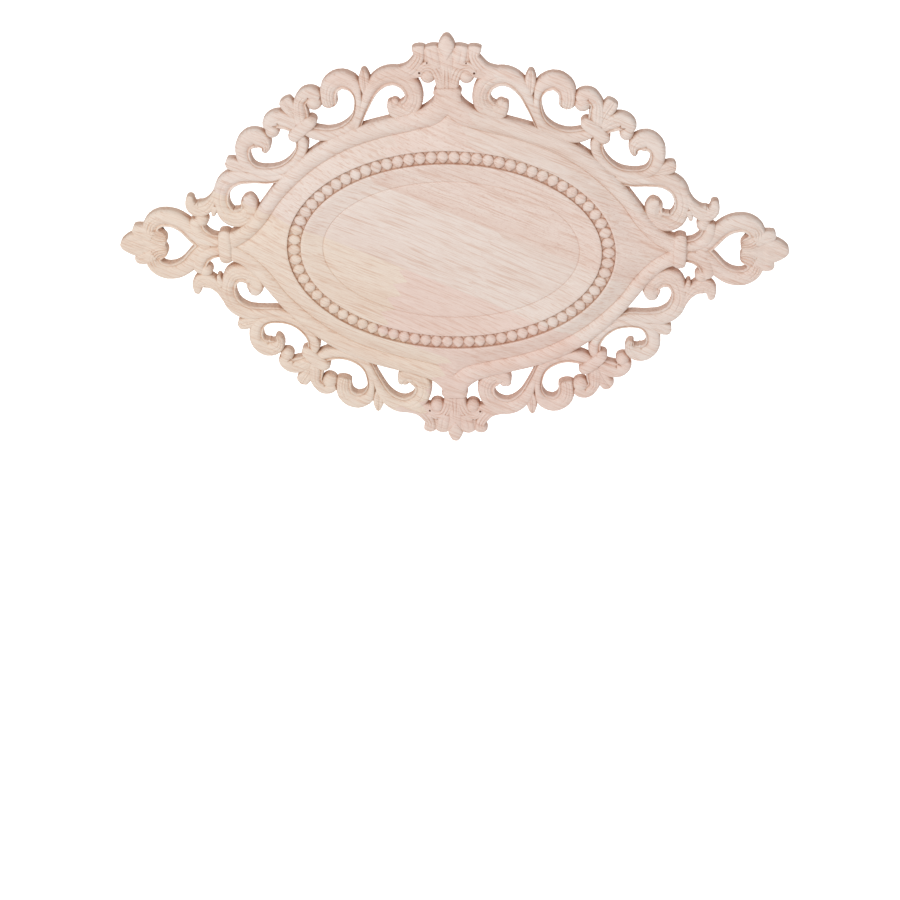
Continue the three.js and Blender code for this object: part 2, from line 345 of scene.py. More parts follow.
SCROLLS = (
    Stroke(
        "volute beside the fleuron",
        (
            (0.276, 0.35, 0.01), (0.258, 0.41, 0.013), (0.24, 0.455, 0.0155), (0.217, 0.506, 0.0225),
            (0.184, 0.536, 0.0265), (0.148, 0.5415, 0.0275), (0.113, 0.522, 0.027), (0.097, 0.485, 0.0265),
            (0.106, 0.452, 0.0295), (0.129, 0.4345, 0.0325), (0.1505, 0.4385, 0.027), (0.163, 0.4535, 0.0145),
            (0.1625, 0.468, 0.0095),
        ),
        SCROLL,
        finish_height=0.8,
        flutes=(
            Flute(-0.3, 0.6, 0.99, 0.6, 0.09),
            Flute(0.08, 0.3, 0.97, 0.55, 0.08),
            Flute(0.42, 0.66, 0.95, 0.5, 0.08),
        ),
        steps=54,
    ),
    Stroke(
        "upper C-scroll",
        (
            (0.34, 0.446, 0.023), (0.345, 0.478, 0.0245), (0.338, 0.509, 0.0275), (0.308, 0.529, 0.027),
            (0.275, 0.517, 0.0235), (0.26, 0.485, 0.0135), (0.259, 0.445, 0.0135), (0.27, 0.406, 0.0165),
            (0.299, 0.376, 0.02), (0.34, 0.362, 0.02), (0.38, 0.363, 0.0215), (0.42, 0.378, 0.018),
        ),
        SCROLL,
        start=End.ROUND,
        finish=End.HIDDEN,
        start_height=0.9,
        finish_height=1.0,
        flutes=(
            Flute(-0.25, -0.1, 0.22, 0.6, 0.08),
            Flute(0.12, -0.1, 0.25, 0.6, 0.08),
            Flute(0.48, -0.1, 0.2, 0.55, 0.08),
        ),
        steps=48,
        cap=0.5,
    ),
    Stroke(
        "lower C-scroll",
        (
            (0.543, 0.302, 0.007), (0.5365, 0.32, 0.015), (0.547, 0.339, 0.0265), (0.574, 0.3465, 0.0295),
            (0.6, 0.329, 0.0255), (0.607, 0.3, 0.0225), (0.598, 0.268, 0.0205), (0.576, 0.249, 0.0165),
            (0.54, 0.242, 0.0165), (0.493, 0.25, 0.0165), (0.456, 0.275, 0.0175), (0.433, 0.31, 0.0185),
            (0.43, 0.34, 0.019), (0.44, 0.362, 0.014),
        ),
        SCROLL,
        Opening.RIGHT,
        start=End.ROUND,
        finish=End.HIDDEN,
        start_height=0.8,
        finish_height=1.0,
        flutes=(Flute(0.1, -0.1, 0.24, 0.55, 0.08), Flute(0.5, -0.1, 0.26, 0.55, 0.08)),
        steps=52,
    ),
    Stroke(
        "volute beside the panel's end",
        (
            (0.48, 0.232, 0.012), (0.53, 0.221, 0.0155), (0.585, 0.2245, 0.0195), (0.632, 0.223, 0.025),
            (0.667, 0.2, 0.026), (0.682, 0.16, 0.0245), (0.678, 0.125, 0.0245), (0.661, 0.0975, 0.029),
            (0.63, 0.0912, 0.0308), (0.6035, 0.1085, 0.0285), (0.5975, 0.133, 0.0265), (0.604, 0.15, 0.0235),
            (0.613, 0.1605, 0.0155),
        ),
        SCROLL,
        Opening.RIGHT,
        finish_height=0.85,
        flutes=(
            Flute(-0.3, 0.55, 0.99, 0.6, 0.09),
            Flute(0.08, 0.3, 0.97, 0.55, 0.08),
            Flute(0.42, 0.6, 0.95, 0.5, 0.08),
        ),
        steps=54,
    ),
    Stroke(
        "small curl over the heart's foot",
        (
            (0.69, 0.016, 0.018), (0.725, 0.021, 0.0215), (0.752, 0.04, 0.0235), (0.762, 0.066, 0.0225),
            (0.757, 0.09, 0.0215),
        ),
        CREST,
        finish_height=0.9,
        steps=26,
    ),
    Stroke(
        "half of the end heart",
        (
            (0.735, -0.008, 0.02), (0.768, 0.03, 0.025), (0.8, 0.066, 0.0255), (0.835, 0.0855, 0.0265),
            (0.872, 0.086, 0.0265), (0.898, 0.068, 0.025), (0.904, 0.045, 0.025), (0.892, 0.0275, 0.025),
            (0.874, 0.0205, 0.0225), (0.856, 0.0205, 0.019),
        ),
        SCROLL,
        Opening.RIGHT,
        finish_height=0.95,
        flutes=(
            Flute(-0.45, 0.62, 1.15, 0.9, 0.1),
            Flute(-0.1, 0.56, 1.15, 1.0, 0.1),
            Flute(0.25, 0.54, 1.15, 1.0, 0.1),
            Flute(0.6, 0.54, 1.15, 0.8, 0.1),
        ),
        steps=44,
        cap=0.7,
    ),
    Stroke(
        "bunch curl facing the fleuron",
        (
            (0.426, 0.395, 0.024), (0.429, 0.43, 0.0235), (0.428, 0.462, 0.019), (0.407, 0.484, 0.0215),
            (0.387, 0.481, 0.0225), (0.374, 0.468, 0.014),
        ),
        SCROLL,
        finish_height=0.9,
        flutes=(Flute(0.0, -0.1, 0.8, 0.6, 0.1), Flute(0.45, -0.1, 0.8, 0.5, 0.1)),
        steps=30,
    ),
    Stroke(
        "bunch curl facing the end",
        (
            (0.448, 0.386, 0.02), (0.473, 0.402, 0.0265), (0.5, 0.407, 0.0265), (0.518, 0.393, 0.0255),
            (0.52, 0.371, 0.022),
        ),
        SCROLL,
        Opening.RIGHT,
        finish_height=0.9,
        flutes=(Flute(0.0, -0.1, 0.8, 0.6, 0.1), Flute(0.45, -0.1, 0.8, 0.5, 0.1)),
        steps=28,
    ),
)

LEAVES = (
    Stroke(
        "bud between the volute and the upper C-scroll",
        (
            (0.236, 0.485, 0.008), (0.238, 0.515, 0.0165), (0.239, 0.54, 0.0155), (0.24, 0.555, 0.01),
            (0.241, 0.563, 0.006),
        ),
        LEAF,
        finish_height=0.85,
        steps=22,
    ),
    Stroke(
        "bud between the lower C-scroll and the end volute",
        ((0.59, 0.25, 0.01), (0.622, 0.258, 0.0195), (0.645, 0.265, 0.0195), (0.6615, 0.2675, 0.0145)),
        LEAF,
        finish_height=0.85,
        steps=22,
        cap=0.6,
    ),
    Stroke(
        "bud of the bunch",
        ((0.438, 0.4, 0.013), (0.454, 0.433, 0.02), (0.467, 0.453, 0.0215), (0.4775, 0.4695, 0.0185)),
        LEAF,
        finish_height=0.9,
        steps=22,
        cap=0.4,
    ),
    Stroke(
        "hooked leaf on the end volute",
        (
            (0.695, 0.182, 0.006), (0.707, 0.15, 0.014), (0.728, 0.126, 0.021), (0.753, 0.118, 0.0255),
            (0.772, 0.128, 0.0195), (0.7765, 0.146, 0.0135), (0.7735, 0.1625, 0.0105),
        ),
        LOBE,
        finish_height=0.85,
        flutes=(Flute(-0.4, 0.05, 0.9, 0.55, 0.1), Flute(0.25, 0.05, 0.9, 0.55, 0.1)),
        steps=36,
    ),
    Stroke(
        "spur under the hooked leaf",
        ((0.7, 0.132, 0.014), (0.706, 0.112, 0.009), (0.708, 0.097, 0.0055)),
        LOBE,
        finish_height=0.85,
        steps=14,
    ),
    Stroke(
        "corner leaf of the fleuron",
        (
            (0.17, 0.546, 0.02), (0.137, 0.5505, 0.0195), (0.109, 0.561, 0.0185), (0.0875, 0.5835, 0.0175),
            (0.0775, 0.604, 0.0155), (0.08, 0.62, 0.019), (0.0815, 0.6345, 0.0195),
        ),
        LOBE,
        Opening.RIGHT,
        finish_height=0.85,
        flutes=(Flute(-0.35, 0.3, 0.98, 0.65, 0.1), Flute(0.2, 0.3, 0.98, 0.65, 0.1)),
        steps=38,
        cap=0.4,
    ),
    Stroke(
        "side lobe of the fleuron",
        ((0.03, 0.57, 0.018), (0.038, 0.6, 0.021), (0.0435, 0.6355, 0.0215)),
        LOBE,
        finish_height=0.88,
        flutes=(Flute(0.1, 0.1, 0.95, 0.5, 0.09),),
        steps=24,
        cap=0.35,
    ),
    Stroke(
        "curl leaf of the fleuron",
        (
            (0.016, 0.51, 0.016), (0.023, 0.545, 0.017), (0.038, 0.57, 0.0165), (0.06, 0.5745, 0.015),
            (0.076, 0.56, 0.012), (0.078, 0.545, 0.008),
        ),
        LOBE,
        finish=End.HIDDEN,
        finish_height=0.9,
        flutes=(Flute(-0.3, 0.0, 0.95, 0.7, 0.1), Flute(0.3, 0.0, 0.95, 0.7, 0.1)),
        steps=32,
    ),
    Stroke(
        "web between the fleuron's knob and the volute",
        ((0.05, 0.566, 0.01), (0.082, 0.5555, 0.0175), (0.112, 0.5445, 0.015)),
        FAN,
        finish=End.HIDDEN,
        finish_height=1.0,
        steps=16,
    ),
    Stroke(
        "lobe beside the end finial",
        ((0.9, 0.03, 0.02), (0.924, 0.043, 0.0205), (0.943, 0.0465, 0.0185), (0.9595, 0.0475, 0.0145)),
        LOBE,
        finish_height=0.8,
        flutes=(Flute(0.1, 0.3, 0.95, 0.6, 0.09),),
        steps=22,
        cap=0.6,
    ),
    Stroke(
        "knot of the bunch",
        (
            (0.384, 0.411, 0.012), (0.402, 0.4, 0.0185), (0.428, 0.38, 0.02), (0.452, 0.356, 0.018),
            (0.464, 0.344, 0.012),
        ),
        KNOT,
        start=End.ROUND,
        start_height=0.7,
        finish_height=0.7,
        steps=26,
    ),
)

ACROSS_THE_MIDDLE = (
    Stroke(
        "stem of the fleuron",
        ((0.0, 0.47, 0.034), (0.0, 0.52, 0.03), (0.0, 0.56, 0.022), (0.0, 0.6, 0.022), (0.0, 0.63, 0.018)),
        LOBE,
        finish=End.HIDDEN,
        flutes=(
            Flute(-0.6, -0.1, 0.65, 0.75, 0.08),
            Flute(-0.2, -0.1, 0.75, 0.75, 0.07),
            Flute(0.2, -0.1, 0.75, 0.75, 0.07),
            Flute(0.6, -0.1, 0.65, 0.75, 0.08),
        ),
        steps=28,
    ),
    Stroke(
        "fan that carries the fleuron's petals",
        ((0.0, 0.55, 0.035), (0.0, 0.575, 0.06), (0.0, 0.6, 0.075), (0.0, 0.631, 0.08)),
        FAN,
        finish_height=0.95,
        steps=22,
        cap=0.12,
    ),
    Stroke(
        "tip of the fleuron",
        (
            (0.0, 0.597, 0.004), (0.0, 0.612, 0.013), (0.0, 0.632, 0.024), (0.0, 0.646, 0.0205),
            (0.0, 0.658, 0.013), (0.0, 0.666, 0.008),
        ),
        PETAL,
        start=End.ROUND,
        start_height=0.97,
        finish_height=0.75,
        steps=28,
    ),
    Stroke(
        "collar of the fleuron",
        ((-0.0405, 0.494, 0.0125), (-0.02, 0.4945, 0.0155), (0.02, 0.4945, 0.0155), (0.0405, 0.494, 0.0125)),
        COLLAR,
        start=End.ROUND,
        start_height=0.8,
        finish_height=0.8,
        steps=24,
    ),
    Stroke(
        "tip of the end finial",
        (
            (0.914, 0.0, 0.022), (0.925, 0.0, 0.035), (0.945, 0.0, 0.0405), (0.965, 0.0, 0.0355),
            (0.982, 0.0, 0.0255), (0.994, 0.0, 0.015), (1.0, 0.0, 0.009),
        ),
        LOBE,
        start_height=0.6,
        finish_height=0.85,
        flutes=(
            Flute(-0.4, 0.0, 0.8, 0.5, 0.08),
            Flute(0.0, 0.1, 0.8, 0.4, 0.07),
            Flute(0.4, 0.0, 0.8, 0.5, 0.08),
        ),
        steps=30,
    ),
    Stroke(
        "web between the heart's ends",
        ((0.95, 0.0, 0.02), (0.925, 0.0, 0.035), (0.9, 0.0, 0.022), (0.878, 0.0, 0.014), (0.862, 0.0, 0.009)),
        FAN,
        finish_height=0.85,
        flutes=(Flute(0.0, 0.0, 1.1, 0.6, 0.15),),
        steps=14,
    ),
    Stroke(
        "web behind the end tie",
        ((0.66, 0.0, 0.014), (0.7, 0.0, 0.014), (0.735, 0.0, 0.012)),
        FAN,
        finish=End.HIDDEN,
        finish_height=0.9,
        steps=10,
    ),
    Stroke(
        "tie of the end",
        ((0.6785, -0.0535, 0.0175), (0.6785, -0.026, 0.02), (0.6785, 0.026, 0.02), (0.6785, 0.0535, 0.0175)),
        BAND,
        start=End.ROUND,
        start_height=0.75,
        finish_height=0.75,
        steps=26,
        cap=0.6,
    ),
)


def new_object(name: str, bm: bmesh.types.BMesh, folder: bpy.types.Collection) -> bpy.types.Object:
    """Puts a finished bmesh into an object.

    Args:
        name: the object's name.
        bm: the shape, which is freed.
        folder: the collection that the object goes in.

    Returns:
        The new object.
    """
    mesh = bpy.data.meshes.new(name)
    bm.to_mesh(mesh)
    bm.free()
    made = bpy.data.objects.new(name, mesh)
    folder.objects.link(made)
    return made


@dataclass
class StrokeCarver:
    """Carves strokes as closed solids.

    Args:
        cap_stations: stations on a rounded end.
        fall: length over which a stroke falls to its end's height, in half widths.
        tip: share of the half width that is left at the very tip of a rounded end.
    """

    cap_stations: int = 7
    fall: float = 1.6
    tip: float = 0.12

    def stations(self, stroke: Stroke, line: SmoothLine) -> list[float]:
        """Places where the stroke's section is set, closer together at rounded ends.

        Args:
            stroke: the stroke.
            line: its middle line.

        Returns:
            Shares of its length, in order.
        """
        shares = {i / stroke.steps for i in range(stroke.steps + 1)}
        for form, at_start in ((stroke.start, True), (stroke.finish, False)):
            if form is End.ROUND:
                cap = stroke.cap * self._end_width(line, at_start) / line.reach[-1]
                for i in range(self.cap_stations):
                    inward = cap * (1 - math.cos(QUARTER_TURN * i / self.cap_stations))
                    shares.add(inward if at_start else 1 - inward)
        return sorted(shares)

    def _end_width(self, line: SmoothLine, at_start: bool) -> float:
        """Half width at an end."""
        return line.at(0.0 if at_start else 1.0).z

    def _taper(self, stroke: Stroke, line: SmoothLine, share: float) -> tuple[float, float]:
        """Shares of the full half width and height that are left at a place.

        Args:
            stroke: the stroke.
            line: its middle line.
            share: place along it.

        Returns:
            The width's share and the height's share.
        """
        width = height = 1.0
        ends = (
            (stroke.start, stroke.start_height, share, True),
            (stroke.finish, stroke.finish_height, 1 - share, False),
        )
        for form, end_height, inward, at_start in ends:
            distance = inward * line.reach[-1]
            end_width = self._end_width(line, at_start)
            if form is End.ROUND and distance < stroke.cap * end_width:
                left = 1 - distance / (stroke.cap * end_width)
                width *= max(math.sqrt(max(1 - left * left, 0.0)), self.tip)
            fall = self.fall * end_width
            if distance < fall:
                left = 1 - distance / fall
                height *= 1 - (1 - end_height) * left * left
        return width, height

    def carve(self, stroke: Stroke, folder: bpy.types.Collection) -> bpy.types.Object:
        """Extrudes the stroke's section from station to station.

        Args:
            stroke: the stroke.
            folder: the collection for the new object.

        Returns:
            The stroke as a closed solid.
        """
        line = SmoothLine(stroke.path)
        top = stroke.section.fluted(stroke.flutes)
        section = ((top[0][0], None), *top, (top[-1][0], None))
        bm = bmesh.new()
        place = bm.verts.layers.int.new("place")
        for index in range(len(section)):
            bm.verts.new((0.0, 0.0, 0.0))[place] = index
        bm.verts.ensure_lookup_table()
        front = bm.faces.new(bm.verts[:])
        moving = list(bm.verts)
        for number, share in enumerate(self.stations(stroke, line)):
            if number:
                whole = [front, *front.edges, *front.verts]
                made = bmesh.ops.extrude_face_region(bm, geom=whole)["geom"]
                moving = [part for part in made if isinstance(part, bmesh.types.BMVert)]
                front = next(part for part in made if isinstance(part, bmesh.types.BMFace))
            centre = line.at(share)
            ahead = line.heading(share)
            width, height = self._taper(stroke, line, share)
            left, right = line.room(share)
            for vert in moving:
                across, rise = section[vert[place]]
                offset = -across * stroke.opening.value * centre.z * width
                limit = left if offset > 0 else right
                offset *= min(1.0, limit / (centre.z * width))
                if rise is None:
                    level = -SAW_ALLOWANCE
                else:
                    level = rise * height - sum(flute.cut(across, share) for flute in stroke.flutes)
                vert.co = (
                    (centre.x - ahead.y * offset) * HALF_LENGTH,
                    (centre.y + ahead.x * offset) * HALF_LENGTH,
                    level * MM,
                )
        bmesh.ops.recalc_face_normals(bm, faces=bm.faces)
        return new_object(stroke.name, bm, folder)


@dataclass
class Knobs:
    """Round ends of the curls and low pads in their hollows, turned from half a profile.

    Args:
        places: (x, y, radius, height of the top) of each knob and pad.
        shoulder: height where the dome starts.
        segments: sides of the turning.
        dome_steps: steps of the dome.
    """

    places: tuple[tuple[float, float, float, float], ...] = (
        (0.388, 0.4605, 0.0245, 10.2), (0.515, 0.3695, 0.021, 10.2), (0.746, 0.083, 0.0215, 10.2),
        (0.0555, 0.543, 0.0225, 10.0), (0.1391, 0.4451, 0.0187, 8.9), (0.1535, 0.4575, 0.0145, 8.6),
        (0.6145, 0.1115, 0.017, 8.9), (0.6055, 0.138, 0.0198, 8.7),
    )
    shoulder: float = 4.8
    segments: int = 28
    dome_steps: int = 8

    def turn(self, folder: bpy.types.Collection) -> None:
        """Spins a domed profile round each knob's middle.

        Args:
            folder: the collection for the new objects.
        """
        for number, (x, y, radius, crown) in enumerate(self.places):
            bm = bmesh.new()
            profile = [(0.0, -SAW_ALLOWANCE), (radius * HALF_LENGTH, -SAW_ALLOWANCE)]
            for step in range(self.dome_steps + 1):
                angle = QUARTER_TURN * step / self.dome_steps
                rise = self.shoulder + (crown - self.shoulder) * math.sin(angle)
                profile.append((radius * HALF_LENGTH * math.cos(angle), rise))
            verts = [bm.verts.new((reach, 0.0, rise * MM)) for reach, rise in profile]
            edges = [bm.edges.new(pair) for pair in zip(verts, verts[1:])]
            bmesh.ops.spin(
                bm,
                geom=[*verts, *edges],
                axis=UPWARD,
                cent=MIDDLE,
                angle=2 * math.pi,
                steps=self.segments,
                use_merge=True,
            )
            bmesh.ops.remove_doubles(bm, verts=bm.verts, dist=WELD)
            bmesh.ops.recalc_face_normals(bm, faces=bm.faces)
            bmesh.ops.translate(bm, verts=bm.verts, vec=(x * HALF_LENGTH, y * HALF_LENGTH, 0))
            new_object(f"knob {number}", bm, folder)


@dataclass
class CartouchePanel:
    """The walled panel: a rounded rim, a groove, a rising field, the bead bed and a dished middle.

    Args:
        edge: quarter of the outer edge, from the top to the end.
        groove: quarter of the groove inside the rim.
        rim: (share of the way from the edge to the groove, height).
        field: (share of the way from the groove to the outer fillet, height).
        ovals: (half length, half height, height) from the outer fillet to the middle.
        dish_floor: height of the middle.
        stations: stations along a quarter.
    """

    edge: tuple[PlanPoint, ...] = (
        (0.0, 0.5), (0.032, 0.497), (0.04, 0.476), (0.056, 0.459), (0.085, 0.4405), (0.17, 0.416),
        (0.25, 0.393), (0.33, 0.36), (0.414, 0.306), (0.47, 0.256), (0.518, 0.203), (0.566, 0.138),
        (0.605, 0.085), (0.645, 0.053), (0.69, 0.036), (0.705, 0.0),
    )
    groove: tuple[PlanPoint, ...] = (
        (0.0, 0.428), (0.03, 0.402), (0.1, 0.38), (0.2, 0.355), (0.3, 0.317), (0.4, 0.255), (0.5, 0.157),
        (0.55, 0.084), (0.6, 0.03), (0.645, 0.0),
    )
    rim: tuple[SectionPoint, ...] = (
        (0.0, -SAW_ALLOWANCE), (0.0, 8.0), (0.03, 9.1), (0.09, 10.1), (0.18, 10.9), (0.3, 11.45),
        (0.44, 11.7),
        (0.58, 11.65), (0.7, 11.3), (0.81, 10.75), (0.9, 10.1), (0.96, 9.5), (1.0, 8.9),
    )
    field: tuple[SectionPoint, ...] = (
        (0.03, 9.3), (0.09, 9.55), (0.22, 10.1), (0.4, 11.0), (0.6, 12.1), (0.8, 13.2), (0.93, 13.9),
    )
    ovals: tuple[StrokePoint, ...] = (
        (0.4975, 0.3325, 14.0), (0.4955, 0.3305, 14.2), (0.492, 0.327, 14.15), (0.4895, 0.3245, 13.75),
        (0.4882, 0.3232, 11.3), (0.4498, 0.2838, 11.3), (0.4485, 0.2825, 13.7), (0.446, 0.28, 14.1),
        (0.4405, 0.2745, 14.05), (0.43, 0.266, 13.55), (0.42, 0.257, 13.0), (0.408, 0.2455, 12.4),
        (0.395, 0.2335, 11.8), (0.3865, 0.2265, 11.6), (0.3848, 0.2249, 11.5), (0.3826, 0.2228, 10.9),
        (0.3804, 0.2207, 11.3), (0.378, 0.2185, 11.4), (0.36, 0.208, 11.3), (0.3, 0.174, 11.1),
        (0.22, 0.128, 10.85), (0.12, 0.07, 10.65),
    )
    dish_floor: float = 10.6
    stations: int = 64

    def _rounds(self) -> list[tuple[Callable[[float], PlanPoint], float]]:
        """Every round of the panel, from the sawn edge to the middle.

        Returns:
            The quarter line and the height of each round.
        """
        edge, groove = SmoothLine(self.edge), SmoothLine(self.groove)
        first = self.ovals[0]

        def on_oval(half_length: float, half_height: float, share: float) -> PlanPoint:
            """The point of an oval at a share of its quarter."""
            angle = QUARTER_TURN * share
            return half_length * math.sin(angle), half_height * math.cos(angle)

        def between(mix: float, share: float) -> PlanPoint:
            """The point at a share of the way from the edge to the groove."""
            point = edge.at(share).lerp(groove.at(share), mix)
            return point.x, point.y

        def over_field(mix: float, share: float) -> PlanPoint:
            """The point at a share of the way from the groove to the outer fillet.

            Args:
                mix: the share of the way.
                share: place along the quarter.

            Returns:
                The point.
            """
            outer = groove.at(share)
            x, y = on_oval(first[0], first[1], share)
            return outer.x + (x - outer.x) * mix, outer.y + (y - outer.y) * mix

        rounds = [(lambda share, mix=mix: between(mix, share), rise) for mix, rise in self.rim]
        rounds += [(lambda share, mix=mix: over_field(mix, share), rise) for mix, rise in self.field]
        rounds += [(lambda share, a=a, b=b: on_oval(a, b, share), rise) for a, b, rise in self.ovals]
        return rounds

    def _round_trip(self, line: Callable[[float], PlanPoint]) -> list[PlanPoint]:
        """Carries a quarter line round the whole panel.

        Args:
            line: the quarter line.

        Returns:
            Its points, all the way round.
        """
        quarter = [line(i / self.stations) for i in range(self.stations + 1)]
        right = quarter + [(x, -y) for x, y in reversed(quarter[:-1])]
        return right + [(-x, y) for x, y in reversed(right[1:-1])]

    def carve(self, folder: bpy.types.Collection) -> bpy.types.Object:
        """Extrudes the sawn edge inward from round to round and closes the middle and the back.

        Args:
            folder: the collection for the new object.

        Returns:
            The panel as a closed solid.
        """
        bm = bmesh.new()
        around = 4 * self.stations
        place = bm.verts.layers.int.new("place")
        bmesh.ops.create_circle(bm, cap_ends=False, segments=around, radius=HALF_LENGTH)
        for index, vert in enumerate(bm.verts):
            vert[place] = index
        edges = list(bm.edges)
        moving = list(bm.verts)
        for number, (line, rise) in enumerate(self._rounds()):
            if number:
                made = bmesh.ops.extrude_edge_only(bm, edges=edges)["geom"]
                moving = [part for part in made if isinstance(part, bmesh.types.BMVert)]
                edges = [part for part in made if isinstance(part, bmesh.types.BMEdge)]
            plan = self._round_trip(line)
            for vert in moving:
                x, y = plan[vert[place]]
                vert.co = (x * HALF_LENGTH, y * HALF_LENGTH, rise * MM)
        cap = bmesh.ops.edgeloop_fill(bm, edges=edges)["faces"]
        centre = bmesh.ops.poke(bm, faces=cap)["verts"]
        for vert in centre:
            vert.co.z = self.dish_floor * MM
        back = [edge for edge in bm.edges if edge.is_boundary]
        bmesh.ops.edgeloop_fill(bm, edges=back)
        bmesh.ops.recalc_face_normals(bm, faces=bm.faces)
        return new_object("cartouche panel", bm, folder)


@dataclass
class BeadString:
    """Low beads that fill the bed from wall to wall and touch each other.

    Args:
        count: beads in the whole ring.
        half_length: half length of the line through their middles.
        half_height: half height of that line.
        crown: height of a bead's top.
        middle: height of a bead's middle.
        across: half width of a bead across the bed, as a share of the applique's half length.
        fill: share of its place along the ring that a bead takes.
        pinch: power of a bead's outline: 2 is an oval, less is nearer to a diamond.
        segments: sides of a bead.
        rings: rounds of a bead from its foot to its top.
    """

    count: int = 74
    half_length: float = 0.469
    half_height: float = 0.3035
    crown: float = 14.1
    middle: float = 11.4
    across: float = 0.0222
    fill: float = 1.12
    pinch: float = 1.5
    segments: int = 16
    rings: int = 10

    # Spans of the quarter's smooth line, and steps in which the places where it crosses the axes are sought.
    SPANS = 40
    SEARCH_STEPS = 20000

    def place(self, folder: bpy.types.Collection) -> None:
        """Sets a low bead at every place of the quarter, from the end of the long axis.

        Args:
            folder: the collection for the new objects.
        """
        quarter = SmoothLine(
            [
                (self.half_length * math.cos(angle), self.half_height * math.sin(angle))
                for angle in (QUARTER_TURN * i / self.SPANS for i in range(-1, self.SPANS + 2))
            ]
        )
        start = self._share_at(quarter, lambda point: point.y > 0)
        finish = self._share_at(quarter, lambda point: point.x < 0)
        spacing = (finish - start) / (self.count / 4)
        along = spacing * quarter.reach[-1] * HALF_LENGTH * self.fill / 2
        rise = (self.crown - self.middle) * MM
        for number in range(math.ceil(self.count / 4) + 1):
            share = start + spacing * number
            middle, ahead = quarter.at(share), quarter.heading(share)
            bm = bmesh.new()
            bmesh.ops.create_uvsphere(bm, u_segments=self.segments, v_segments=self.rings, radius=1.0)
            for vert in bm.verts:
                reach = math.hypot(vert.co.x, vert.co.y)
                if reach > WELD:
                    bulge = (abs(vert.co.x) ** self.pinch + abs(vert.co.y) ** self.pinch) ** (1 / self.pinch)
                    vert.co.xy *= reach / bulge
            bmesh.ops.scale(bm, verts=bm.verts, vec=(along, self.across * HALF_LENGTH, rise))
            turn = Matrix.Rotation(math.atan2(ahead.y, ahead.x), 3, "Z")
            bmesh.ops.rotate(bm, verts=bm.verts, cent=MIDDLE, matrix=turn)
            spot = Vector((middle.x * HALF_LENGTH, middle.y * HALF_LENGTH, self.middle * MM))
            bmesh.ops.translate(bm, verts=bm.verts, vec=spot)
            new_object(f"bead {number}", bm, folder)

    def _share_at(self, line: SmoothLine, passed: Callable[[Vector], bool]) -> float:
        """Share of the line's length where a test first holds."""
        shares = (i / self.SEARCH_STEPS for i in range(self.SEARCH_STEPS + 1))
        return next(share for share in shares if passed(line.at(share)))


@dataclass
class DrillPits:
    """Small round pits that the carver drilled beside the fleuron's curls.

    Args:
        places: (x, y, radius) of each pit.
        floor: height of the pit's bottom.
        drill_length: length of the drill in millimetres, which reaches above the carving.
        bottom: share of the radius at the drill's lower end.
        top: share of the radius at its upper end.
        segments: sides of the drill.
    """

    places: tuple[StrokePoint, ...] = ((0.0785, 0.5555, 0.0045), (0.056, 0.5855, 0.003))
    floor: float = 3.0
    drill_length: float = 20.0
    bottom: float = 0.5
    top: float = 1.5
    segments: int = 12

    def sink(self, folder: bpy.types.Collection) -> None:
        """Makes a drill for each pit.

        Args:
            folder: the collection for the new objects.
        """
        depth = self.drill_length * MM
        for number, (x, y, radius) in enumerate(self.places):
            bm = bmesh.new()
            bmesh.ops.create_cone(
                bm,
                cap_ends=True,
                segments=self.segments,
                radius1=radius * self.bottom * HALF_LENGTH,
                radius2=radius * self.top * HALF_LENGTH,
                depth=depth,
            )
            spot = Vector((x * HALF_LENGTH, y * HALF_LENGTH, self.floor * MM + depth / 2))
            bmesh.ops.translate(bm, verts=bm.verts, vec=spot)
            new_object(f"drill {number}", bm, folder)


